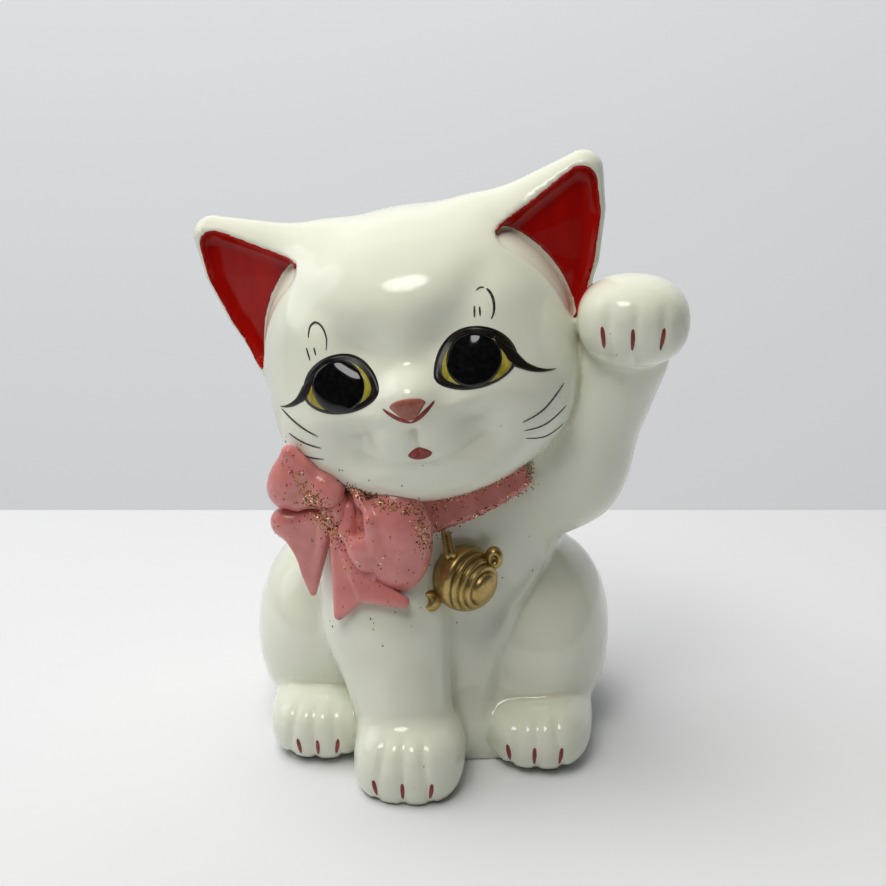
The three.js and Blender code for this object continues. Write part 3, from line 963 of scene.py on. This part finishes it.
def right_tail_form(p):
    """The tail at the cat's right: a puffed shoulder narrowing to a long point."""
    d = leaf(p, ((-45, -38.5, 86), (-33, -41.5, 89), (-37.6, -39.5, 62)), (3.4, 4, 1.2))
    d = carve(d, ellipsoid(p, (-50, -40, 70), (7.5, 14, 9)), 2)
    d = melt(d, ellipsoid(p, (-46, -38.5, 86), (5, 5, 5)), 3)
    return d + 0.8 * dent((p[:, 0] + 37) - (p[:, 2] - 75) * 0.16, 1.8) * ramp(p[:, 2], 66, 80)


def left_tail_form(p):
    """The tail nearer the bell: two points with a notch between them, and a fold up its middle."""
    d = leaf(p, ((-29, -43, 86), (-27.5, -49, 59), (-20, -48, 66)), (2.2, 1.6, 2))
    d = np.minimum(d, leaf(p, ((-21, -47, 72), (-6.8, -48.5, 64.5), (-20, -49, 66)), (2, 2.1, 1.8)))
    return np.minimum(d, leaf(p, ((-29, -43, 86), (-15, -46, 76), (-20, -49, 66)), (2.2, 2, 1.8)))


# Pink cold paint, brushed on after the firing: satin, a little uneven in its cover, with painted shade
# that darkens it in the folds, and soft brush marks along the ribbon.
pink_paint = new_material("pink_cold_paint")
place = add(pink_paint, "ShaderNodeTexCoord").outputs["Object"]
cover = add(pink_paint, "ShaderNodeTexNoise", {"Vector": place}, Scale=1 / 0.007, Detail=4)
uneven = add(
    pink_paint, "ShaderNodeMapRange", {"Value": cover.outputs["Fac"]},
    **{"From Min": 0.3, "From Max": 0.7},
)
brushed_on = mix(pink_paint, uneven.outputs["Result"], "DC8B86", "CC7974")
# painted shade: the pink turns darker where the surface curves inward, in the folds
bend = add(pink_paint, "ShaderNodeNewGeometry").outputs["Pointiness"]
fold = add(pink_paint, "ShaderNodeMapRange", {"Value": bend}, **{"From Min": 0.49, "From Max": 0.42})
colour = add(
    pink_paint, "ShaderNodeMixRGB", {"Fac": fold.outputs["Result"], "Color1": brushed_on.outputs["Color"]},
    Color2=linear("A65450"),
)
flow = add(pink_paint, "ShaderNodeMapping", {"Vector": place}, Scale=(1, 1, 0.3))
bristle = add(
    pink_paint, "ShaderNodeTexNoise", {"Vector": flow.outputs["Vector"]}, Scale=1 / 0.0012,
    Detail=2,
)
bump = add(pink_paint, "ShaderNodeBump", {"Height": bristle.outputs["Fac"]}, Strength=0.25, Distance=0.00015)
gloss = add(
    pink_paint, "ShaderNodeMapRange", {"Value": cover.outputs["Fac"]},
    **{"To Min": 0.22, "To Max": 0.42},
)
surface(
    pink_paint,
    {
        "Base Color": colour.outputs["Color"],
        "Roughness": gloss.outputs["Result"],
        "Normal": bump.outputs["Normal"],
    },
    **{"Coat Weight": 0.4, "Coat Roughness": 0.12},
)

# each part's form and the box that holds it, in mm
BOW = {
    "ribbon_band": (ribbon_band_form, (-52, -56, 72), (56, 48, 122)),
    "bow_loop_upper": (upper_loop_form, (-56, -50, 84), (-24, -28, 118)),
    "bow_loop_lower": (lower_loop_form, (-30, -56, 62), (6, -30, 106)),
    "bow_knot": (knot_form, (-38, -50, 80), (-22, -34, 102)),
    "bow_tail_right": (right_tail_form, (-56, -46, 56), (-26, -28, 98)),
    "bow_tail_left": (left_tail_form, (-34, -54, 52), (-2, -36, 92)),
}
BOW_CELL = 0.75
bow_points, bow_faces = [], []
for name, (form, low, high) in BOW.items():
    points, faces = surface_of(form, low, high, BOW_CELL)
    points = settle(form, points)
    part = piece_from(name, points, faces, pink_paint)
    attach(part, "figure")
    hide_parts(name)
    bow_faces += (faces + sum(len(p) for p in bow_points)).tolist()
    bow_points.append(points)
bow_points = np.concatenate(bow_points)

# ------------------------------------------------------------------ bell
# A round jingle bell moulded on the chest and gilded with gold lustre: a ball with folded ridges over its
# face, the ends of its slit as two small lugs, and a doubled wire loop that hangs it from the ribbon.

BELL_AT, BELL_RADIUS = np.array((11.3, -34, 67.3)), 10.8
BELL_FACE = np.array((0.82, -0.55, -0.18))  # the ridges run round this direction
RIDGES = (37, 51, 64, 79)  # degrees from the face


def bell_angles(p):
    v = p - BELL_AT
    away = np.degrees(np.arccos(np.clip(v @ BELL_FACE / np.linalg.norm(BELL_FACE)
                                        / np.maximum(np.linalg.norm(v, axis=1), 1e-6), -1, 1)))
    return v, away


def bell_form(p):
    v, away = bell_angles(p)
    d = np.linalg.norm(v, axis=1) - BELL_RADIUS
    shown = ramp(v[:, 2], -9.5, -5)
    for ridge in RIDGES:
        d = d + 1.1 * shown * dent(away - ridge - 0.4 * v[:, 2], 4.5)
    return d


def hanger_form(p):
    d = limb(p, (5.4, -37, 84), (7.2, -38.5, 77.5), 1.5, 2.1)
    return d + 0.9 * dent((p[:, 0] - 5.7) - (84 - p[:, 2]) * 0.24, 0.6)


def lug_form(centre, radii, hollow):
    def form(p):
        return carve(ellipsoid(p, centre, radii), ellipsoid(p, hollow, np.array(radii) * 0.45), 0.8)
    return form


# Gold lustre, bright on the ridges, with painted shade that turns it dark brown in the hollows between them.
gold_lustre = new_material("gold_lustre")
place = add(gold_lustre, "ShaderNodeTexCoord").outputs["Object"]
cover = add(gold_lustre, "ShaderNodeTexNoise", {"Vector": place}, Scale=1 / 0.003, Detail=3)
gilt = mix(gold_lustre, cover.outputs["Fac"], "D0B678", "8E773E")
# painted shade: the gold turns dark brown where the surface curves inward, between the ridges
bend = add(gold_lustre, "ShaderNodeNewGeometry").outputs["Pointiness"]
hollow = add(gold_lustre, "ShaderNodeMapRange", {"Value": bend}, **{"From Min": 0.49, "From Max": 0.43})
colour = add(
    gold_lustre, "ShaderNodeMixRGB", {"Fac": hollow.outputs["Result"], "Color1": gilt.outputs["Color"]},
    Color2=linear("2C2010"),
)
gloss = add(
    gold_lustre, "ShaderNodeMapRange", {"Value": cover.outputs["Fac"]},
    **{"To Min": 0.24, "To Max": 0.46},
)
wrinkle = add(gold_lustre, "ShaderNodeTexNoise", {"Vector": place}, Scale=1 / 0.0012, Detail=2)
bump = add(gold_lustre, "ShaderNodeBump", {"Height": wrinkle.outputs["Fac"]}, Strength=0.3, Distance=0.0002)
surface(
    gold_lustre,
    {
        "Base Color": colour.outputs["Color"],
        "Roughness": gloss.outputs["Result"],
        "Normal": bump.outputs["Normal"],
    },
    Metallic=0.9,
)

BELL = {
    "bell_body": (bell_form, BELL_AT, 13),
    "bell_hanger": (hanger_form, (6.3, -37.5, 81), 9),
    "bell_lug_left": (lug_form((20.6, -33, 74.6), (3, 3, 3.9), (20.9, -35.8, 75)), (20.6, -33, 74.6), 6),
    "bell_lug_right": (
        lug_form((0.2, -39.5, 61.2), (4.1, 3.5, 3.8), (-0.3, -42.6, 62.4)), (0.2, -39.5, 61.2), 7,
    ),
}
BELL_CELL = 0.5
for name, (form, middle, reach) in BELL.items():
    points, faces = surface_of(form, np.array(middle) - reach, np.array(middle) + reach, BELL_CELL)
    part = piece_from(name, settle(form, points), faces, gold_lustre)
    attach(part, "figure")
    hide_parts(name)

# ------------------------------------------------------------------ glitter
# Flakes of gold and brown glitter, a third to half a millimetre across, shaken on the wet pink paint:
# thick on the knot and along the ribbon's edges, with a few strays on the bow and the white glaze.

# from and to, x and z in mm, how far the flakes stray, and how many there are
SPRINKLES = (
    ((-43, 109), (-36, 97), 2.2, 70), ((-37, 99), (-28, 84), 2.0, 300), ((-26, 100.5), (-1, 95), 1.1, 280),
    ((-2, 93), (2, 82), 1.4, 170), ((2, 83), (30, 94), 0.8, 120), ((3, 92), (31, 103), 1.6, 190),
    ((31, 103), (31, 95), 0.9, 50), ((-48, 90), (-6, 66), 8, 70), ((-46, 104), (-14, 80), 7, 90),
    ((-40, 60), (30, 105), 14, 26),
)
FLAKE = 0.42
rng = np.random.default_rng(7)
bow_tree = BVHTree.FromPolygons(bow_points.tolist(), bow_faces)
flake_points, flake_faces = [], []
for start, end, stray, count in SPRINKLES:
    along = rng.random((count, 1))
    where = np.array(start) * (1 - along) + np.array(end) * along + rng.normal(0, stray, (count, 2))
    for x, z in where:
        start_ray = Vector((x, -120, z))
        hits = [tree.ray_cast(start_ray, Vector((0, 1, 0))) for tree in (bow_tree, casting_tree)]
        hits = [hit for hit in hits if hit[0] is not None]
        if not hits:
            continue
        place, normal, *_ = min(hits, key=lambda hit: hit[3])
        lean = (normal + Vector(rng.normal(0, 0.3, 3))).normalized()
        spin = lean.to_track_quat("Z", "Y") @ Matrix.Rotation(rng.random() * 6.3, 3, "Z").to_quaternion()
        size = FLAKE * (0.35 + 0.3 * rng.random())
        first = len(flake_points)
        for level in (-0.12, 0.1):
            for corner in range(6):
                turn = corner * math.pi / 3
                arm = Vector((math.cos(turn) * size, math.sin(turn) * size, level))
                flake_points.append(place + normal * 0.08 + spin @ arm)
        flake_faces += [
            tuple(first + i for i in (5, 4, 3, 2, 1, 0)),
            tuple(first + i for i in range(6, 12)),
            *[(first + i, first + (i + 1) % 6, first + 6 + (i + 1) % 6, first + 6 + i) for i in range(6)],
        ]

glitter_foil = new_material("glitter_foil")
island = add(glitter_foil, "ShaderNodeNewGeometry")
tint = add(glitter_foil, "ShaderNodeValToRGB", {"Fac": island.outputs["Random Per Island"]})
tint.color_ramp.interpolation = "CONSTANT"
for stop, colour in ((0, "5E3A1A"), (0.25, "A87238"), (0.5, "D9AC62"), (0.8, "FBE7B6")):
    mark = tint.color_ramp.elements[0] if stop == 0 else tint.color_ramp.elements.new(stop)
    mark.position, mark.color = stop, linear(colour)
surface(
    glitter_foil, {"Base Color": tint.outputs["Color"]},
    **{"Metallic": 0.8, "Roughness": 0.25},
)
glitter = piece_from("glitter", [tuple(p) for p in flake_points], flake_faces, glitter_foil, smooth=False)
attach(glitter, "figure")

# ------------------------------------------------------------------ stopper
# A soft rubber plug pressed into the pour hole under the base, moulded in one: a dished flange that sits
# in the recess, and a hollow plug with two rings that grip the hole.

FLANGE_RADIUS, PLUG_RADIUS, FLANGE_HEIGHT = 15, 11.7, 2
flange_low = hole_low.z * 1000
plug_top = hole_high.z * 1000
flange_top = flange_low + FLANGE_HEIGHT


def turned(name, profile, material, steps=72):
    """A piece turned round the stopper's axis from a profile of radius and height, both ends on the axis."""
    centre = (hole_low + hole_high) / 2 * 1000 - ORIGIN
    points, faces = [], []
    rings = profile[1:-1]
    for radius, z in rings:
        for i in range(steps):
            turn = 2 * math.pi * i / steps
            points.append((centre.x + radius * math.cos(turn), centre.y + radius * math.sin(turn), z))
    foot, crown = len(points), len(points) + 1
    points += [(centre.x, centre.y, profile[0][1]), (centre.x, centre.y, profile[-1][1])]
    for i in range(steps):
        j = (i + 1) % steps
        faces.append((foot, j, i))
        for ring in range(len(rings) - 1):
            a, b = ring * steps, (ring + 1) * steps
            faces.append((a + i, a + j, b + j, b + i))
        last = (len(rings) - 1) * steps
        faces.append((last + i, last + j, crown))
    return piece_from(name, points, faces, material)


# moulded rubber: dull, with a fine grain from the mould and a bloom of dust
rubber = new_material("moulded_rubber")
place = add(rubber, "ShaderNodeTexCoord").outputs["Object"]
bloom = add(rubber, "ShaderNodeTexNoise", {"Vector": place}, Scale=1 / 0.006, Detail=4)
colour = mix(rubber, bloom.outputs["Fac"], "2E2B28", "4A4640")
grain = add(rubber, "ShaderNodeTexNoise", {"Vector": place}, Scale=1 / 0.0006, Detail=2)
bump = add(rubber, "ShaderNodeBump", {"Height": grain.outputs["Fac"]}, Strength=0.4, Distance=0.0001)
surface(
    rubber, {"Base Color": colour.outputs["Color"], "Normal": bump.outputs["Normal"]},
    Roughness=0.68,
)

STOPPER_PROFILE = [
    (0, flange_low + 0.7), (9, flange_low + 0.7), (9.6, flange_low + 0.1), (FLANGE_RADIUS - 0.9, flange_low),
    (FLANGE_RADIUS - 0.25, flange_low + 0.25), (FLANGE_RADIUS, flange_low + 0.8),
    (FLANGE_RADIUS, flange_top - 0.3),
    (FLANGE_RADIUS - 0.3, flange_top), (PLUG_RADIUS - 0.5, flange_top),
    (PLUG_RADIUS - 0.7, flange_top + 1.6),
    (PLUG_RADIUS, flange_top + 2.6), (PLUG_RADIUS - 0.7, flange_top + 3.6),
    (PLUG_RADIUS - 0.7, flange_top + 4.6),
    (PLUG_RADIUS, flange_top + 5.6), (PLUG_RADIUS - 0.8, flange_top + 6.6), (PLUG_RADIUS - 2, plug_top),
    (7, plug_top), (6.5, plug_top - 0.8), (6.2, flange_top + 1.5), (0, flange_top + 1.5),
]
stopper = turned("stopper_plug", STOPPER_PROFILE, rubber)
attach(stopper, "stopper")
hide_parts("base_stopper")

# ------------------------------------------------------------------ finish

low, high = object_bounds()
{"cad": [list(cad_low), list(cad_high)], "visual": [list(low), list(high)]}
